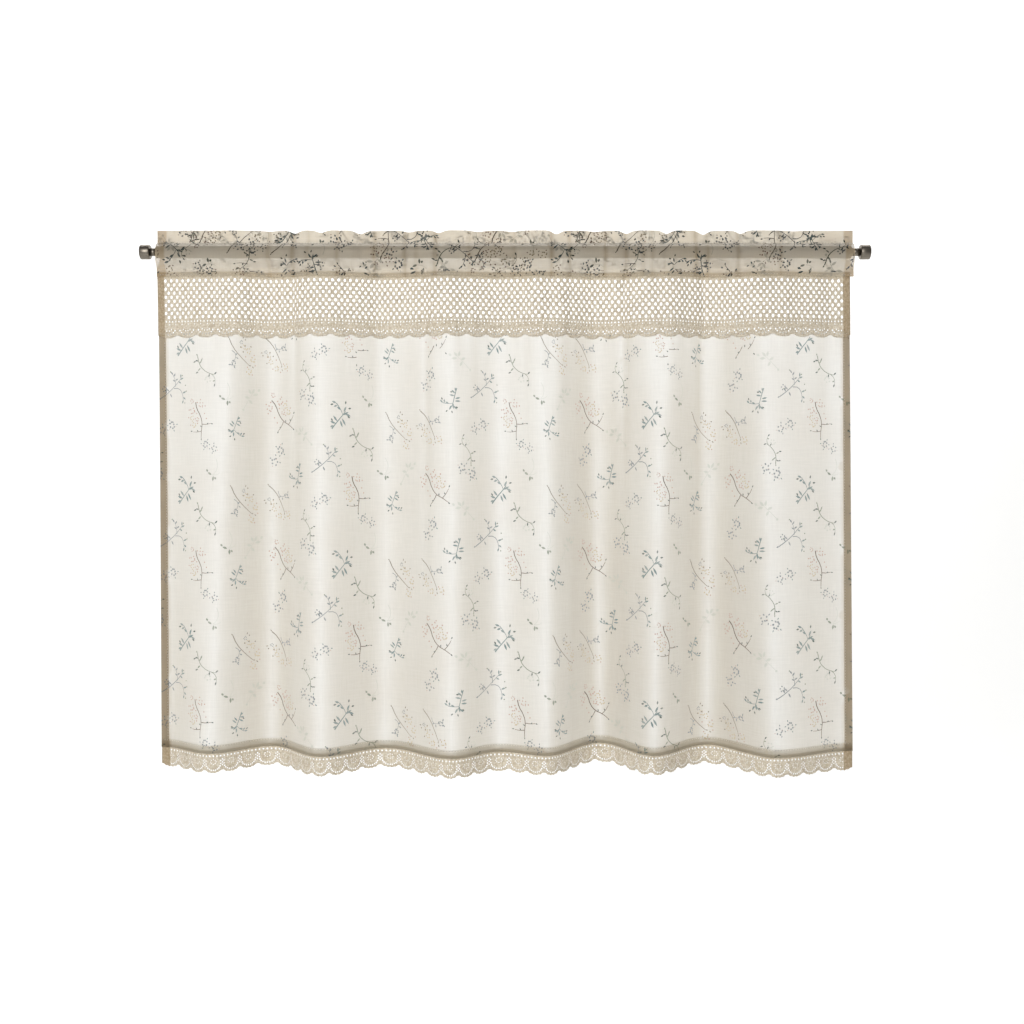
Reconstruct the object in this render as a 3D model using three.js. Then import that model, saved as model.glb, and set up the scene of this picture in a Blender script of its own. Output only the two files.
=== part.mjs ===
// A short cafe curtain gathered on its tension rod: a printed cotton heading with a rod pocket, a net lace band,
// the printed panel with its side hems and bottom hem, and a scalloped lace edging.
// Millimetres. X runs along the rod, Y goes back from the viewer, Z is up, and the origin is on the rod's axis,
// halfway along it. "Depth" is how far the cloth comes forward of the rod's axis, so it is -Y.
import * as THREE from "three";

// Heights above the rod's axis, from the ruffle down to the lace points.
const RUFFLE_TOP = 24;
const POCKET_STITCH = 10;
const POCKET_BOTTOM = -19;
const HEADING_SEAM = -28;
const LACE_TOP = -22;
const NET_TOP = -30.5;
const NET_BOTTOM = -75;
const PANEL_TOP = -76;
const LACE_EDGE = -96.5;
const HEM_TOP = -550;
const HEM_BOTTOM = -559;
const EDGING_TOP = -552;
const EDGING_MIDDLE = -566.5;
const EDGING_EDGE = -581.5;

// Cloth and lace.
const CLOTH_THICK = 1.0;
const LACE_THICK = 1.0;
const HEADING_SEAM_THICK = 2.2;
const HEM_THICK = 2.0;
const LACE_SIDE_THICK = 1.4;
const SIDE_HEM_WIDE = 9;
const SCALLOP_DEEP = 3.6;

// How far each sheet's middle lies in front of the panel's middle.
const PANEL_OFFSET = 0;
const SHEET_GAP = 0.35;
const EDGING_OFFSET = -(HEM_THICK + LACE_SIDE_THICK) / 2 - SHEET_GAP;
const LACE_OFFSET = (HEM_THICK + LACE_SIDE_THICK) / 2 + SHEET_GAP;
const HEADING_OFFSET = LACE_OFFSET + (LACE_SIDE_THICK + HEADING_SEAM_THICK) / 2 + 2.5 * SHEET_GAP;

// Repeats, counted along the flat cloth.
const PANEL_STATIONS = 135;
const NET_COLUMNS = 63;
const NET_LEVELS = 5;
const NET_HOLE_SHARE = 0.7;
const BAND_SCALLOPS = 36;
const EDGING_SCALLOPS = 45;
const HEADING_STATIONS = 72;

// Tension rod.
const TUBE_RADIUS = 6.7;
const TUBE_LEFT = -390.4;
const TUBE_RIGHT = 387.6;
const NECK_RADIUS = 4.35;
const CAP_RADIUS = 8.05;
const CAP_INNER_LEFT = -397.2;
const CAP_INNER_RIGHT = 397.4;
const CAP_LONG = 10.9;
const CAP_CHAMFER = 0.9;
const SEAT_GAP = 0.3;
const ROUND_SIDES = 28;

// The folds, from the left edge to the right one: where each crest (depth above zero) and valley (below zero)
// stands at the heading and at the hem, and its depth at both. Crests and valleys are as uneven as the cloth's.
const FOLDS = [
  { name: "left edge", headingX: -389.5, hemX: -390.5, headingDepth: -2, hemDepth: -20 },
  { name: "crest 1", headingX: -306, hemX: -328, headingDepth: 4, hemDepth: 11 },
  { name: "valley 1", headingX: -262, hemX: -266, headingDepth: -5, hemDepth: -24 },
  { name: "crest 2", headingX: -206, hemX: -203.5, headingDepth: 5, hemDepth: 24 },
  { name: "valley 2", headingX: -133, hemX: -136, headingDepth: -5, hemDepth: -15 },
  { name: "crest 3", headingX: -59, hemX: -57.5, headingDepth: 6, hemDepth: 33 },
  { name: "valley 3", headingX: -5, hemX: -5.5, headingDepth: -3, hemDepth: 2 },
  { name: "crest 4", headingX: 46, hemX: 45.5, headingDepth: 5, hemDepth: 20 },
  { name: "valley 4", headingX: 103, hemX: 109, headingDepth: -6, hemDepth: -38 },
  { name: "crest 5", headingX: 176, hemX: 163.5, headingDepth: 5, hemDepth: 20 },
  { name: "valley 5", headingX: 235, hemX: 230, headingDepth: -5, hemDepth: -29 },
  { name: "crest 6", headingX: 287, hemX: 297, headingDepth: 5, hemDepth: 29 },
  { name: "right edge", headingX: 386, hemX: 390, headingDepth: -1, hemDepth: -2 },
];
const FOLD_GROWTH = 0.65; // the folds open quickly under the heading and slowly further down
const HEM_DIP = 0.06; // a crest's hem hangs this share of its depth lower than a valley's

// Short creases that run down from the gathers and fade out: place, depth, half width and where each one ends.
const CREASES = [
  { x: -326, depth: 1.5, wide: 10, endZ: -190 },
  { x: -143, depth: 3, wide: 10, endZ: -230 },
  { x: -47, depth: 2.5, wide: 9, endZ: -230 },
  { x: 50, depth: 3.5, wide: 9, endZ: -260 },
  { x: 138, depth: 3, wide: 9, endZ: -220 },
  { x: 172, depth: 3, wide: 9, endZ: -220 },
  { x: 326, depth: 1.5, wide: 10, endZ: -200 },
  { x: 362, depth: 2.5, wide: 11, endZ: -330 },
];

// The gathers of the heading: each notch pulls the ruffle down and the pocket back against the rod.
const GATHERS = [
  { x: -264, dip: 0.8, wide: 9 },
  { x: -235, dip: 2.8, wide: 6 },
  { x: -206, dip: 2.6, wide: 6 },
  { x: -162, dip: 3.4, wide: 7 },
  { x: -107, dip: 1.6, wide: 7 },
  { x: -74, dip: 2.6, wide: 6 },
  { x: -30, dip: 1.4, wide: 8 },
  { x: 8, dip: 1.2, wide: 8 },
  { x: 58, dip: 3.6, wide: 6 },
  { x: 101, dip: 1.0, wide: 8 },
  { x: 136, dip: 2.8, wide: 6 },
  { x: 181, dip: 3.4, wide: 6 },
  { x: 222, dip: 3.8, wide: 6 },
  { x: 264, dip: 3.2, wide: 6 },
  { x: 322, dip: 0.8, wide: 9 },
];
const FULL_DIP = 3.5; // a notch this deep draws the pocket quite flat
const BILLOW = 3.2; // how far the pocket stands forward between two notches
const GATHERED_HALF = 260; // beyond this distance from the middle the heading lies flatter
const RUFFLE_SWAY = 2.4;
const END_BULGE = 1.6; // the pocket's ends spread a little over the rod

const clamp = (value, low, high) => Math.min(high, Math.max(low, value));
const mix = (a, b, share) => a + (b - a) * share;
const bell = (distance, wide) => Math.exp(-((distance / wide) ** 2));

// How far down the cloth a height is: 0 at the heading's seam, 1 at the hem.
const downShare = (z) => clamp((HEADING_SEAM - z) / (HEADING_SEAM - HEM_BOTTOM), 0, 1);

// The folds' lines at one height, and the cloth's depth there. Between a crest and a valley it follows a cosine.
function foldsAt(z) {
  const down = downShare(z);
  const growth = down ** FOLD_GROWTH;
  return FOLDS.map((fold) => ({
    x: mix(fold.headingX, fold.hemX, down),
    depth: mix(fold.headingDepth, fold.hemDepth, growth),
  }));
}

function depthAt(x, z) {
  const lines = foldsAt(z);
  let next = 1;
  while (next < lines.length - 1 && x > lines[next].x) next += 1;
  const [from, to] = [lines[next - 1], lines[next]];
  const along = clamp((x - from.x) / (to.x - from.x), 0, 1);
  let depth = mix(from.depth, to.depth, (1 - Math.cos(Math.PI * along)) / 2);
  for (const crease of CREASES) {
    const fade = clamp((z - crease.endZ) / (HEADING_SEAM - crease.endZ), 0, 1);
    depth -= crease.depth * fade * bell(x - crease.x, crease.wide);
  }
  return depth;
}

// The profile's length along the cloth at one height, so that repeats are spaced on the cloth and not on the view.
const PROFILE_STEPS = 600;
const profiles = new Map();
function profileAt(z) {
  if (!profiles.has(z)) {
    const lines = foldsAt(z);
    const [left, right] = [lines[0].x, lines[lines.length - 1].x];
    const xs = [left];
    const lengths = [0];
    for (let step = 1; step <= PROFILE_STEPS; step += 1) {
      const x = mix(left, right, step / PROFILE_STEPS);
      const rise = depthAt(x, z) - depthAt(xs[step - 1], z);
      xs.push(x);
      lengths.push(lengths[step - 1] + Math.hypot(x - xs[step - 1], rise));
    }
    profiles.set(z, { xs, lengths });
  }
  return profiles.get(z);
}

// X of the point that lies a share "across" (0 to 1) of the flat cloth from its left edge, at height z.
function acrossAt(across, z) {
  const { xs, lengths } = profileAt(z);
  const wanted = across * lengths[PROFILE_STEPS];
  let low = 0;
  let high = PROFILE_STEPS;
  while (high - low > 1) {
    const middle = (low + high) >> 1;
    if (lengths[middle] > wanted) high = middle;
    else low = middle;
  }
  return mix(xs[low], xs[high], (wanted - lengths[low]) / (lengths[high] - lengths[low]));
}

const flatWidth = profileAt(HEM_BOTTOM).lengths[PROFILE_STEPS];
const sideHemShare = SIDE_HEM_WIDE / flatWidth;

// A closed solid, gathered point by point and face by face.
class Solid {
  constructor() {
    this.points = [];
    this.faces = [];
  }
  point(x, depth, z) {
    this.points.push(x, -depth, z);
    return this.points.length / 3 - 1;
  }
  triangle(a, b, c) {
    this.faces.push(a, b, c);
  }
  geometry() {
    const made = new THREE.BufferGeometry();
    made.setAttribute("position", new THREE.Float32BufferAttribute(this.points, 3));
    made.setIndex(this.faces);
    return made;
  }
}

// One place on a sheet: a point on its front skin and one on its back skin, square to the cloth.
const SLOPE_STEP = 0.5;
function sheetPoint(solid, { across, rowZ, z = rowZ, offset, thick }) {
  const x = acrossAt(across, rowZ);
  const slope = (depthAt(x + SLOPE_STEP, rowZ) - depthAt(x - SLOPE_STEP, rowZ)) / (2 * SLOPE_STEP);
  const long = Math.hypot(slope, 1);
  const depth = depthAt(x, rowZ);
  const height = z - HEM_DIP * downShare(z) ** 4 * depth;
  const skin = (out) => solid.point(x - (slope / long) * out, depth + out / long, height);
  return { across, front: skin(offset + thick / 2), back: skin(offset - thick / 2) };
}

// One triangle of a sheet in both skins, given counter-clockwise as the viewer sees it.
function patch(solid, a, b, c) {
  solid.triangle(a.front, b.front, c.front);
  solid.triangle(c.back, b.back, a.back);
}

// The cut edge of a sheet from a to b, with the cloth on the left of that way.
function rim(solid, a, b) {
  solid.triangle(b.front, a.front, a.back);
  solid.triangle(b.front, a.back, b.back);
}

// The strip of cloth between two rows of places, each from left to right, which need not hold the same number.
function zip(solid, upper, lower) {
  let i = 0;
  let j = 0;
  while (i < upper.length - 1 || j < lower.length - 1) {
    const upperNext = i < upper.length - 1 ? upper[i + 1].across : Infinity;
    const lowerNext = j < lower.length - 1 ? lower[j + 1].across : Infinity;
    if (upperNext < lowerNext) {
      patch(solid, upper[i], lower[j], upper[i + 1]);
      i += 1;
    } else {
      patch(solid, upper[i], lower[j], lower[j + 1]);
      j += 1;
    }
  }
}

// The cut edges round a sheet whose rows are given from the top one down.
function closeSides(solid, rows) {
  for (let r = 1; r < rows.length; r += 1) {
    rim(solid, rows[r - 1][0], rows[r][0]);
    rim(solid, rows[r].at(-1), rows[r - 1].at(-1));
  }
}
function closeTop(solid, row) {
  for (let i = 1; i < row.length; i += 1) rim(solid, row[i], row[i - 1]);
}
function closeBottom(solid, row) {
  for (let i = 1; i < row.length; i += 1) rim(solid, row[i - 1], row[i]);
}

const inSideHem = (across, slack = 1e-6) =>
  across < sideHemShare + slack || across > 1 - sideHemShare - slack;

// Evenly spaced places, with pairs at the side hems' inner edges, where the thickness steps.
const HEM_STEP_SHARE = 0.0006;
function stationsWithHems(count) {
  const step = sideHemShare + HEM_STEP_SHARE;
  const inner = [];
  for (let i = 1; i < count; i += 1) {
    const across = i / count;
    if (across > step + 0.3 / count && across < 1 - step - 0.3 / count) inner.push(across);
  }
  return [0, sideHemShare, step, ...inner, 1 - step, 1 - sideHemShare, 1];
}

// Height of a scalloped edge: round tongues with sharp notches between them.
function scallopZ(across, count, edgeZ) {
  const within = (across * count) % 1;
  return edgeZ + SCALLOP_DEEP * (1 - Math.sin(Math.PI * clamp(within, 0, 1))) ** 1.3;
}

// The printed panel, with its side hems and its bottom hem.
function panelSolid() {
  const solid = new Solid();
  const stations = stationsWithHems(PANEL_STATIONS);
  const heights = [
    { z: PANEL_TOP, thick: CLOTH_THICK },
    { z: -160, thick: CLOTH_THICK },
    { z: -330, thick: CLOTH_THICK },
    { z: HEM_TOP + 0.5, thick: CLOTH_THICK },
    { z: HEM_TOP, thick: HEM_THICK },
    { z: HEM_BOTTOM, thick: HEM_THICK },
  ];
  const rows = heights.map(({ z, thick }) =>
    stations.map((across) =>
      sheetPoint(solid, {
        across,
        rowZ: z,
        offset: PANEL_OFFSET,
        thick: inSideHem(across) ? HEM_THICK : thick,
      }),
    ),
  );
  for (let r = 1; r < rows.length; r += 1) zip(solid, rows[r - 1], rows[r]);
  closeTop(solid, rows[0]);
  closeSides(solid, rows);
  closeBottom(solid, rows.at(-1));
  return solid.geometry();
}

// The lace band: a strip under the heading, an open net of diamonds, and a dense strip with a scalloped edge.
// The net's strands cross at the points of a lattice, whose columns are half a diamond wide.
function laceBandSolid() {
  const solid = new Solid();
  const halves = 2 * NET_COLUMNS;
  const netShare = (column) => mix(sideHemShare, 1 - sideHemShare, column / halves);
  const levelZ = (level) => mix(NET_TOP, NET_BOTTOM, level / NET_LEVELS);
  const place = (across, rowZ, z) =>
    sheetPoint(solid, {
      across,
      rowZ,
      z,
      offset: LACE_OFFSET,
      thick: inSideHem(across) ? LACE_SIDE_THICK : LACE_THICK,
    });
  const knots = new Map();
  const knot = (column, level) => {
    const key = column + "/" + level;
    if (!knots.has(key)) knots.set(key, place(netShare(column), levelZ(level)));
    return knots.get(key);
  };
  const columns = Array.from({ length: halves + 1 }, (_, column) => column);
  const oddAndEnds = columns.filter((column) => column % 2 || column === 0 || column === halves);

  const topRow = [0, ...columns.map(netShare), 1].map((across) => place(across, LACE_TOP));
  const side = (across, level) => place(across, levelZ(level));
  const leftSide = [0, 2, 4, 5].map((level) => side(0, level));
  const rightSide = [0, 2, 4, 5].map((level) => side(1, level));
  const leftKnots = [0, 2, 4, 5].map((level) => knot(0, level));
  const rightKnots = [0, 2, 4, 5].map((level) => knot(halves, level));

  const netTopRow = [leftSide[0], ...columns.map((column) => knot(column, 0)), rightSide[0]];
  zip(solid, topRow, netTopRow);
  closeTop(solid, topRow);
  closeSides(solid, [topRow, netTopRow]);

  // The solid strips beside the net, where the lace is turned in with the side hems.
  for (let step = 1; step < leftSide.length; step += 1) {
    zip(solid, [leftSide[step - 1], leftKnots[step - 1]], [leftSide[step], leftKnots[step]]);
    zip(solid, [rightKnots[step - 1], rightSide[step - 1]], [rightKnots[step], rightSide[step]]);
    closeSides(solid, [
      [leftSide[step - 1], rightSide[step - 1]],
      [leftSide[step], rightSide[step]],
    ]);
  }

  // The half diamonds along the net's edges, which are solid.
  for (let column = 0; column < halves; column += 2) {
    patch(solid, knot(column, 0), knot(column + 1, 1), knot(column + 1, 0));
    patch(solid, knot(column + 1, 0), knot(column + 1, 1), knot(column + 2, 0));
  }
  for (let column = 1; column < halves - 1; column += 2) {
    patch(solid, knot(column, NET_LEVELS), knot(column + 2, NET_LEVELS), knot(column + 1, NET_LEVELS - 1));
  }
  for (const level of [0, 2]) {
    patch(solid, knot(0, level), knot(0, level + 2), knot(1, level + 1));
    patch(solid, knot(halves, level), knot(halves - 1, level + 1), knot(halves, level + 2));
  }
  patch(solid, knot(0, 4), knot(0, 5), knot(1, 5));
  patch(solid, knot(halves, 4), knot(halves - 1, 5), knot(halves, 5));

  // The open diamonds.
  for (let level = 1; level < NET_LEVELS; level += 1) {
    for (let column = 1 + (level % 2); column < halves; column += 2) {
      const outer = [
        knot(column, level - 1),
        knot(column - 1, level),
        knot(column, level + 1),
        knot(column + 1, level),
      ];
      const corner = (columnStep, levelStep) =>
        place(netShare(column + columnStep * NET_HOLE_SHARE), levelZ(level + levelStep * NET_HOLE_SHARE));
      const inner = [corner(0, -1), corner(-1, 0), corner(0, 1), corner(1, 0)];
      for (let i = 0; i < 4; i += 1) {
        const j = (i + 1) % 4;
        patch(solid, outer[i], outer[j], inner[j]);
        patch(solid, outer[i], inner[j], inner[i]);
        rim(solid, inner[j], inner[i]);
      }
    }
  }

  // The dense strip and its scallops.
  const denseTop = [leftSide[3], ...oddAndEnds.map((column) => knot(column, NET_LEVELS)), rightSide[3]];
  const fine = Array.from({ length: 4 * BAND_SCALLOPS + 1 }, (_, i) => i / (4 * BAND_SCALLOPS));
  const edge = fine.map((across) => place(across, LACE_EDGE, scallopZ(across, BAND_SCALLOPS, LACE_EDGE)));
  zip(solid, denseTop, edge);
  closeSides(solid, [denseTop, edge]);
  closeBottom(solid, edge);
  return solid.geometry();
}

// The lace edging, sewn behind the bottom hem: a plain strip, then one open crescent in each scallop.
function laceEdgingSolid() {
  const solid = new Solid();
  const thirds = 3 * EDGING_SCALLOPS;
  const place = (across, rowZ, z) =>
    sheetPoint(solid, {
      across,
      rowZ,
      z,
      offset: EDGING_OFFSET,
      thick: inSideHem(across) ? LACE_SIDE_THICK : LACE_THICK,
    });
  const stations = Array.from({ length: thirds + 1 }, (_, i) => i / thirds);
  const top = stations.map((across) => place(across, EDGING_TOP));
  const middle = stations.map((across) => place(across, EDGING_MIDDLE));
  const edge = stations.map((across) =>
    place(across, EDGING_EDGE, scallopZ(across, EDGING_SCALLOPS, EDGING_EDGE)),
  );
  zip(solid, top, middle);
  closeTop(solid, top);
  closeSides(solid, [top, middle, edge]);
  closeBottom(solid, edge);

  const HOLE_HALF_SHARE = 0.3;
  const HOLE_TOP = EDGING_MIDDLE - 3;
  const HOLE_SIDES = EDGING_MIDDLE - 6.5;
  const HOLE_BOTTOM = EDGING_EDGE + 3.6;
  for (let scallop = 0; scallop < EDGING_SCALLOPS; scallop += 1) {
    const start = 3 * scallop;
    const inTheHem = scallop === 0 || scallop === EDGING_SCALLOPS - 1;
    if (inTheHem) {
      zip(solid, middle.slice(start, start + 4), edge.slice(start, start + 4));
      continue;
    }
    const shareOf = (within) => (scallop + 0.5 + within) / EDGING_SCALLOPS;
    const left = place(shareOf(-HOLE_HALF_SHARE), HOLE_SIDES);
    const bottom = place(shareOf(0), HOLE_BOTTOM);
    const right = place(shareOf(HOLE_HALF_SHARE), HOLE_SIDES);
    const over = place(shareOf(0), HOLE_TOP);
    const [m0, m1, m2, m3] = middle.slice(start, start + 4);
    const [e0, e1, e2, e3] = edge.slice(start, start + 4);
    const faces = [
      [m0, e0, left],
      [e0, e1, left],
      [e1, bottom, left],
      [e1, e2, bottom],
      [e2, right, bottom],
      [e2, e3, right],
      [e3, m3, right],
      [m3, m2, right],
      [m2, over, right],
      [m2, m1, over],
      [m1, left, over],
      [m1, m0, left],
    ];
    for (const [a, b, c] of faces) patch(solid, a, b, c);
    rim(solid, bottom, left);
    rim(solid, right, bottom);
    rim(solid, over, right);
    rim(solid, left, over);
  }
  return solid.geometry();
}

// How strongly the nearest notch draws the heading in at x, and how far the ruffle dips there.
function gatherAt(x) {
  let dip = 0;
  for (const gather of GATHERS) dip += gather.dip * bell(x - gather.x, gather.wide);
  return { dip, drawn: clamp(dip / FULL_DIP, 0, 1) };
}

// The heading's section at one station, as two closed contours of { depth, z }: the outside, and the pocket.
function headingSection(x) {
  const { dip, drawn } = gatherAt(x);
  const flatter = clamp(1.6 - Math.abs(x) / GATHERED_HALF, 0.25, 1);
  const billow = BILLOW * flatter * (1 - drawn);
  const sway = RUFFLE_SWAY * flatter * (0.5 - drawn) + depthAt(x, HEADING_SEAM) * 0.25;
  const seam = depthAt(x, HEADING_SEAM) + HEADING_OFFSET;
  const half = HEADING_SEAM_THICK / 2;
  const ruffleTop = RUFFLE_TOP - dip;
  const shoulder = TUBE_RADIUS - 0.7;
  const round = TUBE_RADIUS + 1.3;
  const outside = [
    { depth: sway + half, z: ruffleTop },
    { depth: half, z: POCKET_STITCH },
    { depth: shoulder + 0.4 * billow, z: TUBE_RADIUS + 1 },
    { depth: round + CLOTH_THICK + billow, z: 0 },
    { depth: round + CLOTH_THICK - 0.4 + billow, z: -10 },
    { depth: seam + half, z: POCKET_BOTTOM },
    { depth: seam + half, z: HEADING_SEAM },
    { depth: seam - half, z: HEADING_SEAM },
    { depth: seam - half, z: POCKET_BOTTOM },
    { depth: -round - CLOTH_THICK + 1.4, z: -10 },
    { depth: -round - CLOTH_THICK - 0.4 * billow, z: 0 },
    { depth: -shoulder, z: TUBE_RADIUS + 1 },
    { depth: -half, z: POCKET_STITCH },
    { depth: sway - half, z: ruffleTop },
  ];
  const pocket = [
    { depth: shoulder - 1.2, z: TUBE_RADIUS + SEAT_GAP },
    { depth: round + billow, z: -0.2 },
    { depth: round - 0.4 + billow, z: -10 },
    { depth: seam, z: POCKET_BOTTOM + 1.6 },
    { depth: -round + 1.4, z: -10 },
    { depth: -round - 0.4 * billow, z: -0.2 },
    { depth: 1.2 - shoulder, z: TUBE_RADIUS + SEAT_GAP },
  ];
  return { outside, pocket };
}

// The heading: the ruffle, the rod pocket, which is open at both ends, and the doubled edge sewn over the lace.
function headingSolid() {
  const solid = new Solid();
  const stations = stationsWithHems(HEADING_STATIONS);
  const endSpread = (across, z) => {
    const side = across < 0.5 ? -1 : 1;
    const nearEnd = bell(Math.min(across, 1 - across), sideHemShare);
    return side * END_BULGE * nearEnd * bell(z, 10);
  };
  const rings = stations.map((across) => {
    const x = acrossAt(across, HEADING_SEAM);
    const { outside, pocket } = headingSection(x);
    const extra = inSideHem(across) ? 0.35 : 0;
    const thicken = ({ depth, z }, index) => ({
      depth: index < outside.length / 2 ? depth + extra : depth,
      z,
    });
    const lift = ({ depth, z }) => solid.point(x + endSpread(across, z), depth, z);
    return {
      outside: outside.map(thicken).map(lift),
      pocket: pocket.map(lift),
      flat: { outside, pocket },
    };
  });
  // The outside contour runs clockwise as seen from the right end, so its skins face out to the right of it.
  for (let s = 1; s < rings.length; s += 1) {
    const [from, to] = [rings[s - 1], rings[s]];
    from.outside.forEach((a, i) => {
      const next = (i + 1) % from.outside.length;
      solid.triangle(a, from.outside[next], to.outside[next]);
      solid.triangle(a, to.outside[next], to.outside[i]);
    });
    from.pocket.forEach((a, i) => {
      const next = (i + 1) % from.pocket.length;
      solid.triangle(a, to.pocket[next], from.pocket[next]);
      solid.triangle(a, to.pocket[i], to.pocket[next]);
    });
  }
  for (const [ring, faceRight] of [
    [rings[0], false],
    [rings.at(-1), true],
  ]) {
    const flatten = (contour) => contour.map(({ depth, z }) => new THREE.Vector2(depth, z));
    const indices = [...ring.outside, ...ring.pocket];
    const faces = THREE.ShapeUtils.triangulateShape(flatten(ring.flat.outside), [
      flatten(ring.flat.pocket),
    ]);
    for (const [a, b, c] of faces) {
      if (faceRight) solid.triangle(indices[a], indices[c], indices[b]);
      else solid.triangle(indices[a], indices[b], indices[c]);
    }
  }
  return solid.geometry();
}

// A round rod piece from one X to another, with its ends chamfered where a chamfer is given.
function roundPiece(radius, fromX, toX, chamfer = 0) {
  const long = toX - fromX;
  const rounded = [
    new THREE.Vector2(radius - chamfer, 0),
    new THREE.Vector2(radius, chamfer),
    new THREE.Vector2(radius, long - chamfer),
    new THREE.Vector2(radius - chamfer, long),
  ];
  const square = [new THREE.Vector2(radius, 0), new THREE.Vector2(radius, long)];
  const outline = [new THREE.Vector2(0, 0), ...(chamfer ? rounded : square), new THREE.Vector2(0, long)];
  const made = new THREE.LatheGeometry(outline, ROUND_SIDES);
  made.rotateZ(-Math.PI / 2);
  made.translate(fromX, 0, 0);
  return made;
}

const printedCotton = new THREE.MeshStandardMaterial({ color: 0xe4dfd4, roughness: 0.9, metalness: 0 });
const headingCotton = new THREE.MeshStandardMaterial({ color: 0xcfc5b2, roughness: 0.9, metalness: 0 });
const cottonLace = new THREE.MeshStandardMaterial({ color: 0xd2c7ae, roughness: 0.95, metalness: 0 });
const darkNickel = new THREE.MeshStandardMaterial({ color: 0x6f6860, roughness: 0.35, metalness: 0.9 });

const curtain = new THREE.Group();
function add(name, geometry, material) {
  const mesh = new THREE.Mesh(geometry, material.clone());
  mesh.name = name;
  curtain.add(mesh);
}

add("heading", headingSolid(), headingCotton);
add("lace_band", laceBandSolid(), cottonLace);
add("panel", panelSolid(), printedCotton);
add("lace_edging", laceEdgingSolid(), cottonLace);
add("rod_tube", roundPiece(TUBE_RADIUS, TUBE_LEFT, TUBE_RIGHT), darkNickel);

const neckLeft = roundPiece(NECK_RADIUS, CAP_INNER_LEFT + SEAT_GAP, TUBE_LEFT - SEAT_GAP);
const neckRight = roundPiece(NECK_RADIUS, TUBE_RIGHT + SEAT_GAP, CAP_INNER_RIGHT - SEAT_GAP);
add("rod_neck_left", neckLeft, darkNickel);
add("rod_neck_right", neckRight, darkNickel);

const capLeft = roundPiece(CAP_RADIUS, CAP_INNER_LEFT - CAP_LONG, CAP_INNER_LEFT, CAP_CHAMFER);
const capRight = roundPiece(CAP_RADIUS, CAP_INNER_RIGHT, CAP_INNER_RIGHT + CAP_LONG, CAP_CHAMFER);
add("rod_cap_left", capLeft, darkNickel);
add("rod_cap_right", capRight, darkNickel);

export default curtain;
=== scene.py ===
"""A cafe curtain panel of printed cotton voile with a net lace band and a lace hem, hung on its tension rod.

Sizes are in millimetres in the tables and turned to metres where a mesh is made. X runs along the rod, depth
is towards the viewer (minus Y) and Z is up, with the rod's axis at zero.
"""

import math
import random
from functools import partial

import bpy
import numpy as np
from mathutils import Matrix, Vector
from mathutils.geometry import delaunay_2d_cdt


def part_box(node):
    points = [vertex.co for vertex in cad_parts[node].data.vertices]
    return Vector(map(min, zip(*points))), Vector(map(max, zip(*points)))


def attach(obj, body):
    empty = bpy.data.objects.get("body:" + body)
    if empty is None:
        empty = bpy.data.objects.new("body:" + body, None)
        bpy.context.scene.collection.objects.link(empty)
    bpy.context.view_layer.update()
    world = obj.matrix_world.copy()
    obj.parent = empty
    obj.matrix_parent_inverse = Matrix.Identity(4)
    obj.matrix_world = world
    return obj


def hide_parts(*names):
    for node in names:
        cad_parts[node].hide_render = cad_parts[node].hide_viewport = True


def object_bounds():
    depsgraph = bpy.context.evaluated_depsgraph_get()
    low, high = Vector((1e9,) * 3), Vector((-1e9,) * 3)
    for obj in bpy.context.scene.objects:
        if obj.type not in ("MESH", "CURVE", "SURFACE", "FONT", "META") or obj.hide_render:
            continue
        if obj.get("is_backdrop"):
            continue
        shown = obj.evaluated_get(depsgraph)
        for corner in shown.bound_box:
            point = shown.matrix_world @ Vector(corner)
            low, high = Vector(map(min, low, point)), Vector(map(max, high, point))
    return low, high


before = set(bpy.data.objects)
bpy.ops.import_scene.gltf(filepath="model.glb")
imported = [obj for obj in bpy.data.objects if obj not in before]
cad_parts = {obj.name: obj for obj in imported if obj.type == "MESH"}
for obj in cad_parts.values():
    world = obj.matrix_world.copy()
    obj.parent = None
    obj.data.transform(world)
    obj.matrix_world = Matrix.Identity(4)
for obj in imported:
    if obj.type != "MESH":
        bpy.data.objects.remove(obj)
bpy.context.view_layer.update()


# The printed panel
# The main length of semi-sheer cotton voile, printed with small sprigs, turned twice at both sides and once
# at the bottom. Its top is sewn behind the lace band. It hangs from there in six folds that open downwards.
MM = 0.001
HEADING_SEAM = -28.0
PANEL_TOP = -90.0  # trimmed close behind the lace strip's scallops
HEM_TOP = -550.0
HEM_BOTTOM = -559.0
SIDE_HEM_WIDE = 9.0
HEM_TURN = 8.4  # the raw edge, turned in once more inside a side hem
HEM_LAYER = 0.35  # how far the layers of a hem lie apart
HEM_DIP = 0.06  # a crest's hem hangs this share of its depth lower than a valley's
FOLD_GROWTH = 0.65  # the folds open quickly under the heading and slowly further down

# Crests and valleys, left to right: X at the heading, X at the hem, depth at the heading, depth at the hem.
FOLDS = np.array(
    [
        (-389.5, -390.5, -2.0, -20.0),
        (-306.0, -328.0, 4.0, 11.0),
        (-262.0, -266.0, -5.0, -24.0),
        (-206.0, -203.5, 5.0, 24.0),
        (-133.0, -136.0, -5.0, -15.0),
        (-59.0, -57.5, 6.0, 33.0),
        (-5.0, -5.5, -3.0, 2.0),
        (46.0, 45.5, 5.0, 20.0),
        (103.0, 109.0, -6.0, -38.0),
        (176.0, 163.5, 5.0, 20.0),
        (235.0, 230.0, -5.0, -29.0),
        (287.0, 297.0, 5.0, 29.0),
        (386.0, 390.0, -1.0, -2.0),
    ]
)

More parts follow.
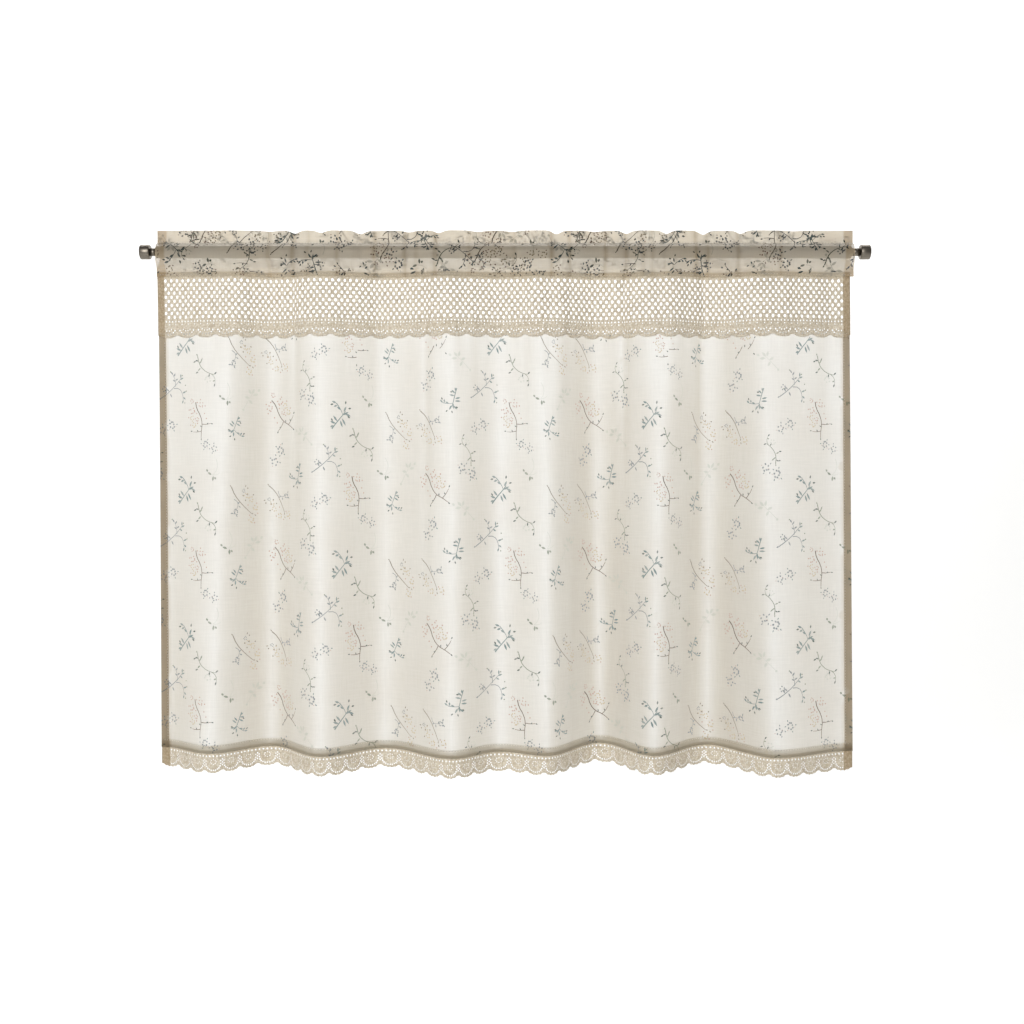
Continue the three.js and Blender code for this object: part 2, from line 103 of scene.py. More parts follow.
# Creases that run down from the gathers: X, depth, half width, height where each one fades out.
CREASES = [
    (-326.0, 1.5, 10.0, -190.0),
    (-143.0, 3.0, 10.0, -230.0),
    (-47.0, 2.5, 9.0, -230.0),
    (50.0, 3.5, 9.0, -260.0),
    (138.0, 3.0, 9.0, -220.0),
    (172.0, 3.0, 9.0, -220.0),
    (326.0, 1.5, 10.0, -200.0),
    (362.0, 2.5, 11.0, -330.0),
]

# Fine puckers that only thin cloth takes: X, depth, half width, height where each one fades out.
PUCKERS = [
    (-284.0, 0.8, 5.0, -170.0),
    (-235.0, 2.4, 5.0, -420.0),
    (-178.0, 0.9, 5.0, -200.0),
    (-110.0, 0.7, 4.5, -160.0),
    (-88.0, 2.4, 5.0, -450.0),
    (-30.0, 1.0, 5.0, -240.0),
    (22.0, 1.1, 5.0, -260.0),
    (72.0, 1.2, 5.0, -230.0),
    (134.0, 2.6, 4.5, -330.0),
    (202.0, 0.8, 5.0, -180.0),
    (222.0, 2.4, 5.0, -380.0),
    (248.0, 1.0, 5.0, -200.0),
    (302.0, 0.6, 5.0, -150.0),
]


def down_share(z):
    """How far down the cloth a height is: 0 at the heading's seam, 1 at the hem."""
    return np.clip((HEADING_SEAM - z) / (HEADING_SEAM - HEM_BOTTOM), 0.0, 1.0)


def cloth_depth(x, z):
    """Depth of the hanging cloth at X and height z. Between a crest and a valley it follows a cosine."""
    x, z = np.broadcast_arrays(np.asarray(x, float), np.asarray(z, float))
    down = down_share(z)
    growth = down**FOLD_GROWTH
    place = [a + (b - a) * down for a, b in FOLDS[:, :2]]
    level = [a + (b - a) * growth for a, b in FOLDS[:, 2:]]
    depth = np.array(level[0])
    for left in range(len(FOLDS) - 1):
        along = np.clip((x - place[left]) / (place[left + 1] - place[left]), 0.0, 1.0)
        rise = level[left] + (level[left + 1] - level[left]) * (1 - np.cos(np.pi * along)) / 2
        depth = np.where(x >= place[left], rise, depth)
    for at, deep, wide, end in CREASES + PUCKERS:
        fade = np.clip((z - end) / (HEADING_SEAM - end), 0.0, 1.0)
        depth = depth - deep * fade * np.exp(-(((x - at) / wide) ** 2))
    return depth


# X of each share of the flat cloth, level by level, so that the print and the lace are spaced on the cloth.
LEVELS = np.arange(-600.0, 35.0, 5.0)
SHARES = np.linspace(0.0, 1.0, 1201)
cloth_x = np.zeros((len(LEVELS), len(SHARES)))
flat_width = 0.0
for row, level in enumerate(LEVELS):
    down = float(down_share(level))
    left_x, right_x = (FOLDS[end, 0] + (FOLDS[end, 1] - FOLDS[end, 0]) * down for end in (0, -1))
    across_x = np.linspace(left_x, right_x, 1201)
    steps = np.hypot(np.diff(across_x), np.diff(cloth_depth(across_x, level)))
    run = np.concatenate([[0.0], np.cumsum(steps)])
    cloth_x[row] = np.interp(SHARES, run / run[-1], across_x)
    if level <= HEM_BOTTOM < LEVELS[row + 1]:
        flat_width = float(run[-1])


def cloth_place(across, z):
    """X of the point that lies a share across of the flat cloth from its left edge, at height z."""
    row = np.clip((np.asarray(z, float) - LEVELS[0]) / 5.0, 0, len(LEVELS) - 1.001)
    column = np.clip(np.asarray(across, float), 0, 1) * 1199.999
    r, c = row.astype(int), column.astype(int)
    up, along = row - r, column - c
    lower = cloth_x[r, c] * (1 - along) + cloth_x[r, c + 1] * along
    upper = cloth_x[r + 1, c] * (1 - along) + cloth_x[r + 1, c + 1] * along
    return lower * (1 - up) + upper * up


def hang(across, row_z, out, z=None):
    """Points of the hanging cloth in metres: out is how far each lies before the middle of the cloth."""
    z = row_z if z is None else z
    x = cloth_place(across, row_z)
    slope = cloth_depth(x + 0.5, row_z) - cloth_depth(x - 0.5, row_z)
    long = np.hypot(slope, 1.0)
    depth = cloth_depth(x, row_z)
    height = z - HEM_DIP * down_share(z) ** 4 * depth
    return np.stack([x - slope / long * out, -(depth + out / long), height], axis=-1) * MM


def cut_flat(width, height, across_step, down_step, shapes, folds_across=(), folds_down=()):
    """A flat rectangle of cloth, cut into triangles that follow each shape's outline and each fold line.
    Gives points, triangles, and for each triangle the last shape that covers it, or -1."""
    across = np.linspace(0, width, max(2, round(width / across_step)) + 1)
    down = np.linspace(0, height, max(2, round(height / down_step)) + 1)
    across = np.unique(np.round(np.concatenate([across, folds_across]), 4))
    down = np.unique(np.round(np.concatenate([down, folds_down]), 4))
    grid = [Vector((a, d)) for d in down for a in across]
    row, last = len(across), len(down) - 1
    columns = [int(np.abs(across - a).argmin()) for a in (0, width, *folds_across)]
    rows = [int(np.abs(down - d).argmin()) for d in (0, height, *folds_down)]
    lines = [(c, last * row + c) for c in columns] + [(r * row, r * row + row - 1) for r in rows]
    points = list(grid)
    for shape in shapes:
        first, count = len(points), len(shape)
        points.extend(Vector(p) for p in shape)
        lines += [(first + i, first + (i + 1) % count) for i in range(count)]
    made, _, triangles, _, _, _ = delaunay_2d_cdt(points, lines, [], 0, 1e-4, False)
    made = np.array([tuple(p) for p in made])
    triangles = np.array([tuple(t) for t in triangles])
    centre = made[triangles].mean(axis=1)
    inside = (centre[:, 0] > 0) & (centre[:, 0] < width) & (centre[:, 1] > 0) & (centre[:, 1] < height)
    triangles, centre = triangles[inside], centre[inside]
    order = np.argsort(centre[:, 0])
    sorted_x = centre[order, 0]
    cover = np.full(len(triangles), -1)
    for index, shape in enumerate(shapes):
        rim = np.array(shape)
        (x0, y0), (x1, y1) = rim.min(axis=0), rim.max(axis=0)
        near = order[np.searchsorted(sorted_x, x0) : np.searchsorted(sorted_x, x1)]
        near = near[(centre[near, 1] > y0) & (centre[near, 1] < y1)]
        odd = np.zeros(len(near), bool)
        for (ax, ay), (bx, by) in zip(rim, np.roll(rim, -1, axis=0)):
            if ay != by:
                y = centre[near, 1]
                odd ^= ((ay > y) != (by > y)) & (centre[near, 0] < ax + (y - ay) * (bx - ax) / (by - ay))
        cover[near[odd]] = index
    return made, triangles, cover


def make_piece(name, points, faces, material, smooth=True):
    """A mesh object from points in metres and faces. Points that no face uses are left out."""
    faces = [tuple(int(i) for i in face) for face in faces]
    used = sorted({i for face in faces for i in face})
    renumber = {old: new for new, old in enumerate(used)}
    mesh = bpy.data.meshes.new(name)
    mesh.from_pydata([tuple(points[i]) for i in used], [], [[renumber[i] for i in f] for f in faces])
    mesh.polygons.foreach_set("use_smooth", [smooth] * len(faces))
    mesh.materials.append(material)
    piece = bpy.data.objects.new(name, mesh)
    bpy.context.scene.collection.objects.link(piece)
    return piece, used


def linear(hex_colour, alpha=1.0):
    """An sRGB hex colour as linear RGBA."""
    parts = [int(hex_colour[i : i + 2], 16) / 255 for i in (1, 3, 5)]
    return (*[p / 12.92 if p <= 0.04045 else ((p + 0.055) / 1.055) ** 2.4 for p in parts], alpha)


def add_node(material, kind, settings=None, links=None):
    """Adds a shader node to a material, with its settings, its socket values and its links."""
    tree = material.node_tree
    node = tree.nodes.new("ShaderNode" + kind)
    for name, value in (settings or {}).items():
        if isinstance(name, int) or name in node.inputs:
            node.inputs[name].default_value = value
        else:
            setattr(node, name, value)
    for name, output in (links or {}).items():
        tree.links.new(output, node.inputs[name])
    return node


def new_material(name):
    material = bpy.data.materials.new(name)
    material.use_nodes = True
    material.node_tree.nodes.clear()
    return material


def voile(name, ground, shade, painted_shade_tone, clear, glow):
    """Printed cotton voile: thin plain-woven cotton, washed and printed. Light passes between its threads
    (clear) and through them (glow). Its front is matt with a faint sheen. The print sits in the threads."""
    material = new_material(name)
    add = partial(add_node, material)
    flat = add("Attribute", {"attribute_name": "flat_cut"})
    ink = add("Attribute", {"attribute_name": "print_ink"})
    hem = add("Attribute", {"attribute_name": "hem_layers"})
    crease = add("Attribute", {"attribute_name": "crease_cream"})
    # slubs: threads that are thicker for 20 to 30 mm, about 1.5 mm apart, along and across the cloth
    slubs = []
    for scale in [(650.0, 40.0, 1.0), (40.0, 650.0, 1.0)]:
        stretched = add("Mapping", {"Scale": scale}, {"Vector": flat.outputs["Vector"]})
        slubs.append(
            add(
                "TexNoise",
                {"Scale": 1.0, "Detail": 2.0, "Roughness": 0.6},
                {"Vector": stretched.outputs["Vector"]},
            )
        )
    threads = add("Math", {"operation": "ADD"}, {0: slubs[0].outputs["Fac"], 1: slubs[1].outputs["Fac"]})
    # patches of 60 to 90 mm where the washed cloth is a little warmer
    patch = add(
        "TexNoise", {"Scale": 14.0, "Detail": 3.0, "Roughness": 0.5}, {"Vector": flat.outputs["Vector"]}
    )
    patch_share = add(
        "MapRange",
        {"From Min": 0.35, "From Max": 0.7, "To Min": 0.0, "To Max": 1.0},
        {"Value": patch.outputs["Fac"]},
    )
    cloth = add(
        "Mix", {"data_type": "RGBA", 6: linear(ground), 7: linear(shade)}, {0: patch_share.outputs["Result"]}
    )
    thread_tone = add(
        "MapRange",
        {"From Min": 0.7, "From Max": 1.3, "To Min": 0.96, "To Max": 1.035},
        {"Value": threads.outputs["Value"]},
    )
    toned = add(
        "VectorMath", {"operation": "SCALE"}, {0: cloth.outputs[2], "Scale": thread_tone.outputs["Result"]}
    )
    # painted shade: a darker, warmer tone where the cloth turns away into a fold, in its valleys and
    # creases, and on the bottom hem
    shade_painted = add(
        "Mix",
        {"data_type": "RGBA", "blend_type": "MULTIPLY", 7: linear(painted_shade_tone)},
        {0: crease.outputs["Fac"], 6: toned.outputs["Vector"]},
    )
    # the hem's layers are drawn darker and warmer: partly the denser cloth, partly painted shade between the
    # layers
    hem_shaded = add(
        "Mix",
        {"data_type": "RGBA", "blend_type": "MULTIPLY", 7: linear("#e3d8c7")},
        {0: hem.outputs["Fac"], 6: shade_painted.outputs[2]},
    )
    # the ink takes unevenly on the threads
    ink_share = add(
        "Math", {"operation": "MULTIPLY"}, {0: ink.outputs["Alpha"], 1: thread_tone.outputs["Result"]}
    )
    printed = add(
        "Mix",
        {"data_type": "RGBA"},
        {0: ink_share.outputs["Value"], 6: hem_shaded.outputs[2], 7: ink.outputs["Color"]},
    )
    weave = add("Bump", {"Strength": 0.25, "Distance": 0.0003}, {"Height": threads.outputs["Value"]})
    front = add(
        "BsdfPrincipled",
        {"Roughness": 0.88, "Specular IOR Level": 0.25, "Sheen Weight": 0.15, "Sheen Roughness": 0.5},
        {"Base Color": printed.outputs[2], "Normal": weave.outputs["Normal"]},
    )
    through = add("BsdfTranslucent", links={"Color": printed.outputs[2], "Normal": weave.outputs["Normal"]})
    body = add("MixShader", {0: glow}, {1: front.outputs["BSDF"], 2: through.outputs["BSDF"]})
    open_share = add(
        "MapRange",
        {"From Min": 0.0, "From Max": 1.0, "To Min": clear, "To Max": clear * 0.25},
        {"Value": ink.outputs["Alpha"]},
    )
    gaps = add("BsdfTransparent")
    cloth_out = add(
        "MixShader",
        {},
        {0: open_share.outputs["Result"], 1: body.outputs["Shader"], 2: gaps.outputs["BSDF"]},
    )
    add("OutputMaterial", {}, {"Surface": cloth_out.outputs["Shader"]})
    return material


# The print's inks, each with how much of the cloth it covers.
INKS = {
    "bark": ("#5c4a3c", 0.95),
    "twig": ("#6f6455", 0.9),
    "rose": ("#a68274", 0.85),
    "ochre": ("#ab9874", 0.85),
    "teal": ("#5b7273", 0.9),
    "slate": ("#6d757a", 0.9),
    "sage": ("#717b69", 0.9),
    "pale": ("#98a192", 0.5),
    "dark": ("#46524d", 0.95),
}


def leaf(x, y, heading, long, wide, ink):
    """A pointed leaf that grows from its foot at x, y towards heading, in degrees from the right."""
    a, b = math.cos(math.radians(heading)), math.sin(math.radians(heading))
    rim = [(0, 0), (0.3, 0.42), (0.6, 0.48), (1, 0), (0.6, -0.48), (0.3, -0.42)]
    return [([(x + a * t * long - b * w * wide, y + b * t * long + a * w * wide) for t, w in rim], ink)]


def stem(points, wide, ink):
    """A stem along a few points, smoothed once, thinner at its tip."""
    line = [points[0]]
    for (ax, ay), (bx, by) in zip(points, points[1:]):
        line += [(ax * 0.7 + bx * 0.3, ay * 0.7 + by * 0.3), (ax * 0.3 + bx * 0.7, ay * 0.3 + by * 0.7)]
    line.append(points[-1])
    left, right = [], []
    for i, (x, y) in enumerate(line):
        (px, py), (qx, qy) = line[max(i - 1, 0)], line[min(i + 1, len(line) - 1)]
        long = math.hypot(qx - px, qy - py) or 1.0
        half = wide * 0.65 * (1 - 0.5 * i / (len(line) - 1))
        left.append((x - (qy - py) / long * half, y + (qx - px) / long * half))
        right.append((x + (qy - py) / long * half, y - (qx - px) / long * half))
    return [(left + right[::-1], ink)]


def speck(x, y, radius, ink):
    """A berry or a dab of ink."""
    turns = [t * math.pi / 3 for t in range(6)]
    return [([(x + radius * math.cos(turn), y + radius * math.sin(turn)) for turn in turns], ink)]


def floret(x, y, radius, ink, petals=6):
    """A loose ring of small petals with a gap in its middle."""
    shapes = []
    for i in range(petals):
        turn = i * 2 * math.pi / petals + x + 0.35 * math.sin(5 * i + y)
        reach = radius * (1 + 0.3 * math.sin(2.3 * i * i + x))
        px, py = x + reach * math.cos(turn), y + reach * math.sin(turn)
        shapes += leaf(px, py, math.degrees(turn) + 70, radius * 1.1, radius * 0.8, ink)
    return shapes


def berry_branch():
    """A bent brown branch with a fork, loose rings of rose petals over it and two dark buds."""
    shapes = stem([(-11, 14), (-6, 9), (-3, 0), (3, -7), (10, -10), (16, -14)], 0.9, "bark")
    shapes += stem([(3, -7), (0, -12), (-4, -16)], 0.7, "bark")
    shapes += stem([(10, -10), (14, -6), (17, -1)], 0.6, "bark")
    rings = [(-13, 6, 1.9), (-9, 19, 1.6), (-1, 12, 2.1), (6, 8, 1.8), (10, 2, 1.9), (3, 2, 1.7)]
    for x, y, radius in rings:
        shapes += floret(x, y, radius, "rose" if x < 5 else "ochre")
    buds = [(-17, 10), (-15, 1), (-8, -3), (-5, -8), (8, 13), (1, 17), (13, 6), (-2, 6), (6, -1), (-12, 12)]
    for x, y in buds:
        shapes += speck(x, y, 0.85, "rose")
    tips = [(17, 0, 60), (13, -7, 110), (0, -12, 200), (-4, -16, 250), (16, -14, 320), (6, -8, 90)]
    for x, y, turn in tips:
        shapes += leaf(x, y, turn, 2.8, 1.3, "dark")
    return shapes


def berry_twig():
    """A straight falling twig, slate leaves and rings below it, ochre petals above its end."""
    shapes = stem([(-12, 16), (-8, 7), (0, -2), (12, -12)], 0.9, "twig")
    shapes += stem([(-9, 3), (-4, 0), (-5, -6), (-8, -10)], 0.6, "slate")
    leaves = [(-4, -4, 330), (-6, -7, 200), (-8, -10, 240), (-10, -12, 180), (-7, -13, 300), (-5, -2, 40)]
    for x, y, turn in leaves:
        shapes += leaf(x, y, turn, 3.6, 1.5, "slate")
    rings = [(-7, -11, 1.7), (6, 7, 1.7), (3, 12, 1.4), (12, 3, 1.9), (17, -6, 2.0), (12, -19, 2.0)]
    for x, y, radius in rings:
        shapes += floret(x, y, radius, "slate" if x < 5 else "ochre")
    for x, y in [(8, 15), (5, 2), (2, 7), (19, -1), (15, 8), (20, -12), (16, -22), (10, -14), (8, -3)]:
        shapes += speck(x, y, 0.85, "twig" if y > 0 else "rose")
    for x, y, turn in [(5, 16, 70), (6, 8, 20), (12, -12, 350), (16, -13, 320), (-12, 16, 130)]:
        shapes += leaf(x, y, turn, 2.8, 1.2, "twig")
    return shapes


def leafy_sprig():
    """A short sprig of full teal leaves on two crossing stems."""
    shapes = stem([(-9, -13), (-3, -6), (3, 0), (6, 4)], 0.9, "teal")
    shapes += stem([(-4, 11), (1, 5), (3, 0)], 0.7, "teal")
    for x, y, turn, long in [
        (3, 0, 25, 7), (4, 3, 60, 6), (1, 5, 150, 5), (-4, 11, 160, 5), (-3, 9, 200, 4), (6, 1, 340, 6),
        (2, -3, 300, 8), (0, -5, 290, 7), (-3, -6, 130, 7), (-5, -8, 160, 6), (-7, -10, 200, 4),
    ]:
        shapes += leaf(x, y, turn, long, 2.0, "teal")
    for x, y, turn in [(9, 6, 10), (8, -1, 330), (-7, 10, 190), (-8, -6, 120), (6, 10, 80)]:
        shapes += leaf(x, y, turn, 3.4, 1.7, "dark")
    return shapes


def fern_spray():
    """A slanting stem with bowed side stems, each with leaves at its end."""
    shapes = stem([(-15, -10), (-7, -5), (2, 2), (10, 10)], 0.8, "slate")
    shapes += stem([(3, 2), (3, 8), (0, 14)], 0.6, "slate")
    shapes += stem([(1, 0), (8, 0), (12, -5), (13, -12)], 0.7, "slate")
    for x, y, turn, long in [
        (0, 14, 130, 4), (1, 12, 60, 4), (3, 8, 30, 4), (3, 7, 150, 4), (10, 10, 90, 5), (9, 9, 20, 5),
        (7, 7, 330, 4), (-5, -3, 140, 5), (-8, -5, 110, 4), (-4, -5, 300, 5), (13, -12, 250, 4),
        (13, -9, 320, 4), (12, -5, 20, 5), (-15, -10, 200, 3),
    ]:
        shapes += leaf(x, y, turn, long, 1.7, "teal" if x > 5 else "slate")
    for x, y in [(16, 3), (17, -3), (12, 13), (-10, -2), (15, -15), (-3, 17)]:
        shapes += speck(x, y, 0.8, "sage")
    shapes += floret(-11, -1, 1.9, "slate")
    return shapes


def bowed_twig():
    """A twig that falls and then runs level, with paired buds and a drooping tip."""
    shapes = stem([(-13, 14), (-11, 6), (-6, 0), (2, -4), (8, -5)], 0.9, "sage")
    shapes += stem([(4, -4), (9, -8), (9, -14)], 0.6, "sage")
    for x, y, turn, long in [
        (-12, 9, 170, 4), (-15, 9, 200, 4), (-11, 6, 45, 5), (-9, 8, 60, 5), (-9, 2, 220, 5),
        (-12, -2, 200, 4), (8, -5, 40, 4), (9, -14, 250, 4), (9, -11, 200, 3), (2, -4, 260, 4),
        (-13, 14, 120, 3),
    ]:
        shapes += leaf(x, y, turn, long, 1.6, "dark" if long == 4 else "sage")
    shapes += floret(0, -10, 2.2, "pale")
    return shapes


def blossom_pair():
    """Two slate blossoms on a scatter of buds."""
    shapes = floret(-6, 5, 2.4, "slate") + floret(5, -4, 2.6, "slate", 7)
    leaves = [(-1, 7, 40), (1, 2, 330), (-2, 0, 250), (8, 1, 60), (2, -8, 240), (-8, 0, 200), (9, -8, 300)]
    for x, y, turn in leaves:
        shapes += leaf(x, y, turn, 2.6, 1.3, "teal" if x > 0 else "slate")
    for x, y in [(-3, 3), (0, -3), (7, -9), (-10, 8)]:
        shapes += speck(x, y, 0.6, "rose")
    return shapes


def curled_trefoil():
    """Three small leaves and a curled stem as thin as a hair."""
    shapes = stem([(4, 12), (6, 6), (4, 0), (0, -3)], 0.45, "pale")
    shapes += stem([(0, -3), (5, -3), (8, -1)], 0.4, "pale")
    for x, y, turn, long in [(-1, -3, 150, 5), (1, -4, 260, 5), (-5, 0, 130, 3), (2, -5, 310, 3)]:
        shapes += leaf(x, y, turn, long, 2.1, "sage")
    return shapes


def pale_fronds():
    """Broad faint leaves that look like a second, paler printing."""
    shapes = stem([(-10, -12), (-5, -4), (0, 3)], 0.5, "pale")
    for x, y, turn, long in [
        (0, 3, 60, 7), (1, 2, 10, 7), (-1, 3, 120, 6), (-3, -1, 170, 6), (-4, -3, 320, 6), (7, 6, 40, 4),
        (-10, -12, 240, 3),
    ]:
        shapes += leaf(x, y, turn, long, 2.8, "pale")
    return shapes


# One repeat of the print, in mm: each sprig, its place, turn in degrees, size, and 1 or -1 to flip it.
REPEAT_WIDE, REPEAT_HIGH = 216.0, 166.0
PRINT_REPEAT = [
    (berry_branch, 26, 28, 0, 1.15, 1),
    (blossom_pair, 70, 10, 10, 1.1, 1),
    (leafy_sprig, 114, 30, 0, 1.2, 1),
    (curled_trefoil, 152, 10, 0, 1.2, 1),
    (berry_twig, 188, 44, 0, 1.05, 1),
    (pale_fronds, 62, 52, 15, 1.1, -1),
    (bowed_twig, 146, 62, 0, 1.1, 1),
    (blossom_pair, 20, 74, 200, 1.1, -1),
    (fern_spray, 96, 82, 0, 1.1, 1),
    (leafy_sprig, 52, 98, 120, 1.0, -1),
    (berry_branch, 134, 116, 55, 1.05, -1),
    (pale_fronds, 204, 92, 0, 1.1, 1),
    (blossom_pair, 88, 126, 60, 1.0, 1),
    (curled_trefoil, 170, 92, 10, 1.2, 1),
    (berry_twig, 20, 124, 75, 1.0, -1),
    (leafy_sprig, 182, 128, 200, 0.9, 1),
    (blossom_pair, 148, 148, 300, 0.9, -1),
    (bowed_twig, 68, 152, 160, 0.9, 1),
]


def print_cloth(width, height, left, top):
    """The sprigs that fall on a piece of cloth, in its own flat millimetres, across and down. left and top
    say where in the printed roll the piece was cut; every second repeat is dropped by half."""
    shapes, inks = [], []
    chance = random.Random(7)
    for column in range(int(left // REPEAT_WIDE) - 1, int((left + width) // REPEAT_WIDE) + 2):
        drop = REPEAT_HIGH / 2 if column % 2 else 0.0
        first, last = int((top - drop) // REPEAT_HIGH), int((top + height - drop) // REPEAT_HIGH)
        for row in range(first - 1, last + 2):
            for sprig, x, y, turn, size, flip in PRINT_REPEAT:
                a = column * REPEAT_WIDE + x - left
                d = row * REPEAT_HIGH + y + drop - top
                if not (-25 < a < width + 25 and -25 < d < height + 25):
                    continue
                c, s = math.cos(math.radians(turn)), math.sin(math.radians(turn))
                for outline, ink in sprig():
                    placed = [
                        (a + (c * px * flip - s * py) * size, d - (s * px * flip + c * py) * size)
                        for px, py in outline
                    ]
                    if flip > 0:
                        placed.reverse()
                    if all(0.2 < p[0] < width - 0.2 and 0.2 < p[1] < height - 0.2 for p in placed):
                        shapes.append(placed)
                        colour, cover = INKS[ink]
                        inks.append(linear(colour, cover * chance.uniform(0.8, 1.0)))
    return shapes, inks


def mark_points(piece, name, values, kind="FLOAT"):
    """Writes a value or a vector for each point of a piece, for its material to read."""
    marks = piece.data.attributes.new(name, kind, "POINT")
    marks.data.foreach_set("vector" if kind == "FLOAT_VECTOR" else "value", np.array(values, float).ravel())


def mark_flat(piece, used, flat):
    """Writes where each point lies in the flat cloth, in metres."""
    mark_points(piece, "flat_cut", [(flat[i][0] * MM, flat[i][1] * MM, 0.0) for i in used], "FLOAT_VECTOR")


def ink_piece(piece, used, flat, cover, inks, hem_share, painted_shade_share):
    """Writes a piece's flat coordinates in metres, its ink, hems and painted crease shade for the material
    to read.
    """
    mark_flat(piece, used, flat)
    mark_points(piece, "hem_layers", hem_share[used])
    mark_points(piece, "crease_cream", painted_shade_share[used])
    ink = piece.data.attributes.new("print_ink", "FLOAT_COLOR", "CORNER")
    blank = (0.5, 0.5, 0.5, 0.0)
    colours = [inks[c] if c >= 0 else blank for c in cover for _ in range(3)]
    ink.data.foreach_set("color", np.array(colours).ravel())


def fold_hem(distance, wide, turn):
    """Where a point of the hem allowance lies: how far in from the fold, and in which layer. distance is
    counted outwards from the fold in the flat cloth and is negative on the face of the cloth."""
    back = np.clip(distance, 0, wide)
    turned = np.clip(distance - wide, 0, turn)
    inwards = np.where(distance > 0, back - turned, -distance)
    layer = 2.0 * np.clip(distance / 0.4, 0, 1) - np.clip((distance - wide) / 0.4, 0, 1)
    return inwards, layer


def crease_shade_share(across, z):
    """How much painted shade the cloth takes at a place: most where it turns away into a fold, a little more
    in deep valleys.
    """
    x = cloth_place(across, z)
    slope = (cloth_depth(x + 2, z) - cloth_depth(x - 2, z)) / 4
    # painted shade: slopes turning away to the right take the most, slopes turning away to the left three
    # quarters of it
    away = np.where(slope < 0, -slope, 0.75 * slope)
    # more painted shade in the deep valleys
    low = np.clip(-cloth_depth(x, z) / 60.0, 0, 0.3)
    return np.clip(0.9 * (1 - np.exp(-((away / 0.5) ** 1.3))) + low, 0, 1)


# The cut length: the face, and the hem allowances at both sides and at the bottom, which wrap to the back.
side_allowance = SIDE_HEM_WIDE + HEM_TURN
face_wide, face_high = flat_width, PANEL_TOP - HEM_BOTTOM
cut_wide, cut_high = face_wide + 2 * side_allowance, face_high + HEM_TOP - HEM_BOTTOM
shapes, inks = print_cloth(cut_wide, cut_high, 60.0, 20.0)
turn_lines = [0, *[line + past for line in (HEM_TURN, side_allowance) for past in (0, 0.2, 0.4)]]
panel_flat, panel_faces, panel_cover = cut_flat(
    cut_wide,
    cut_high,
    5.2,
    12.0,
    shapes,
    folds_across=[*turn_lines, *[cut_wide - t for t in turn_lines]],
    folds_down=[2 * face_high - cut_high, face_high, face_high + 0.2, face_high + 0.4],
)
off_left, layer_left = fold_hem(side_allowance - panel_flat[:, 0], SIDE_HEM_WIDE, HEM_TURN)
off_right, layer_right = fold_hem(panel_flat[:, 0] - cut_wide + side_allowance, SIDE_HEM_WIDE, HEM_TURN)
off_low, layer_low = fold_hem(panel_flat[:, 1] - face_high, HEM_TOP - HEM_BOTTOM, HEM_TURN)
panel_across = np.where(panel_flat[:, 0] < cut_wide / 2, off_left / face_wide, 1 - off_right / face_wide)
panel_z = HEM_BOTTOM + off_low
behind = np.where(panel_flat[:, 0] < cut_wide / 2, layer_left, layer_right) + 2.2 * layer_low
panel_points = hang(panel_across, panel_z, -HEM_LAYER * behind)
hem_part = SIDE_HEM_WIDE / face_wide
in_hem = ((panel_across < hem_part) | (panel_across > 1 - hem_part)).astype(float)

# the third colour is the tone of the painted shade in the folds
printed_voile = voile("Cotton voile, printed", "#e1dfd9", "#dedad2", "#ded6c6", 0.26, 0.55)
panel_piece, panel_used = make_piece("printed_panel", panel_points, panel_faces, printed_voile)
# the bottom hem takes a fixed share of the painted shade
panel_painted_shade = np.where(panel_z < HEM_TOP, 0.9, crease_shade_share(panel_across, panel_z))
ink_piece(panel_piece, panel_used, panel_flat, panel_cover, inks, in_hem, panel_painted_shade)
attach(panel_piece, "root")
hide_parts("panel")


# The pocket heading
# One strip of the same voile, folded over the rod: a small ruffle stands above the pocket's stitching, the
# pocket holds the rod, and below it both layers are sewn to the lace. Its voile is drawn greyer and warmer
# than the single panel's: painted shade of the doubled strip.
RUFFLE_TOP = 24.0
HEADING_DEPTH = 4.73  # the doubled strip lies this far before the panel's cloth
HEADING_LEFT, HEADING_RIGHT = -389.3, 389.3

# The gathers: X, how far the ruffle is drawn down, half width.
GATHERS = [
    (-264.0, 0.8, 9.0), (-235.0, 2.8, 6.0), (-206.0, 2.6, 6.0), (-162.0, 3.4, 7.0), (-107.0, 1.6, 7.0),
    (-74.0, 2.6, 6.0), (-30.0, 1.4, 8.0), (8.0, 1.2, 8.0), (58.0, 3.6, 6.0), (101.0, 1.0, 8.0),
    (136.0, 2.8, 6.0), (181.0, 3.4, 6.0), (222.0, 3.8, 6.0), (264.0, 3.2, 6.0), (322.0, 0.8, 9.0),
]


# Fine creases that the gathered pocket takes between its two rows of stitching: X and depth.
POCKET_CREASES = [
    (-262, 1.0), (-235, 1.4), (-218, 0.8), (-185, 1.1), (-144, 1.3), (-110, 1.3), (-97, 0.8), (-76, 1.4),
    (-38, 0.7), (12, 0.7), (54, 1.5), (74, 1.3), (114, 1.4), (137, 1.2), (156, 1.0), (166, 0.8),
    (215, 1.4), (228, 1.2), (262, 1.3), (309, 1.1),
]


def pocket_crease(x):
    return sum(deep * np.exp(-(((x - at) / 2.6) ** 2)) for at, deep in POCKET_CREASES)


